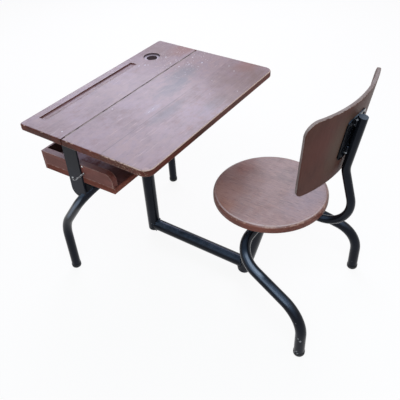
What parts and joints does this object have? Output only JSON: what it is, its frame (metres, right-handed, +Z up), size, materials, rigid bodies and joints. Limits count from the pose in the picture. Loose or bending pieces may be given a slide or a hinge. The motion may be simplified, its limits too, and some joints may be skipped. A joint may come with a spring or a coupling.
{
  "type": "school desk with attached seat",
  "caption": "Child's school desk with a hinged lid, pen groove, inkwell hole and open book box on a bent-tube frame, joined by a low tube to a round seat with a curved backrest.",
  "frame": {"origin": "on the floor, under the middle of the part's bounding box", "axes": "+X from the desk towards the seat and backrest, +Y to the sitting pupil's right, +Z up"},
  "size_m": [0.8273, 0.6, 0.7005],
  "materials": {
    "top_wood": "worn satin stain",
    "box_wood": "worn stain",
    "seat_wood": "satin varnish",
    "back_wood": "satin varnish",
    "black_paint": "worn gloss black",
    "hinge_steel": "dull steel",
    "hook_steel": "dark worn steel",
    "screw_steel": "worn steel",
    "foot_rubber": "matt black"
  },
  "bodies": {
    "desk": {"rear_board": "top_wood", "box_bottom_board": "box_wood", "box_left_side": "box_wood", "box_right_side": "box_wood", "box_rear_panel": "box_wood", "seat_disc": "seat_wood", "backrest_panel": "back_wood", "left_top_rail": "black_paint", "right_top_rail": "black_paint", "left_bracket": "black_paint", "right_bracket": "black_paint", "desk_leg_tube": "black_paint", "desk_post": "black_paint", "spine_tube": "black_paint", "seat_post": "black_paint", "seat_leg_tube": "black_paint", "seat_plate": "black_paint", "back_tube": "black_paint", "back_plate": "black_paint", "back_tube_cap": "black_paint", "post_end_caps": "black_paint", "hinge_fixed_leaf": "hinge_steel", "hinge_pin": "hinge_steel", "satchel_hook": "hook_steel", "rail_screws": "screw_steel", "box_screws": "screw_steel", "seat_screws": "screw_steel", "backrest_screws": "screw_steel", "foot_plugs": "foot_rubber"},
    "lid": {"lid_middle_board": "top_wood", "lid_front_board": "top_wood", "hinge_lid_leaf": "hinge_steel"}
  },
  "joints": [
    {"name": "lid_hinge", "type": "hinge", "parent": "desk", "child": "lid", "pos_m": [-0.25338, 0, 0.5442], "axis": [0, -1, 0], "range_deg": [0, 85]}
  ]
}
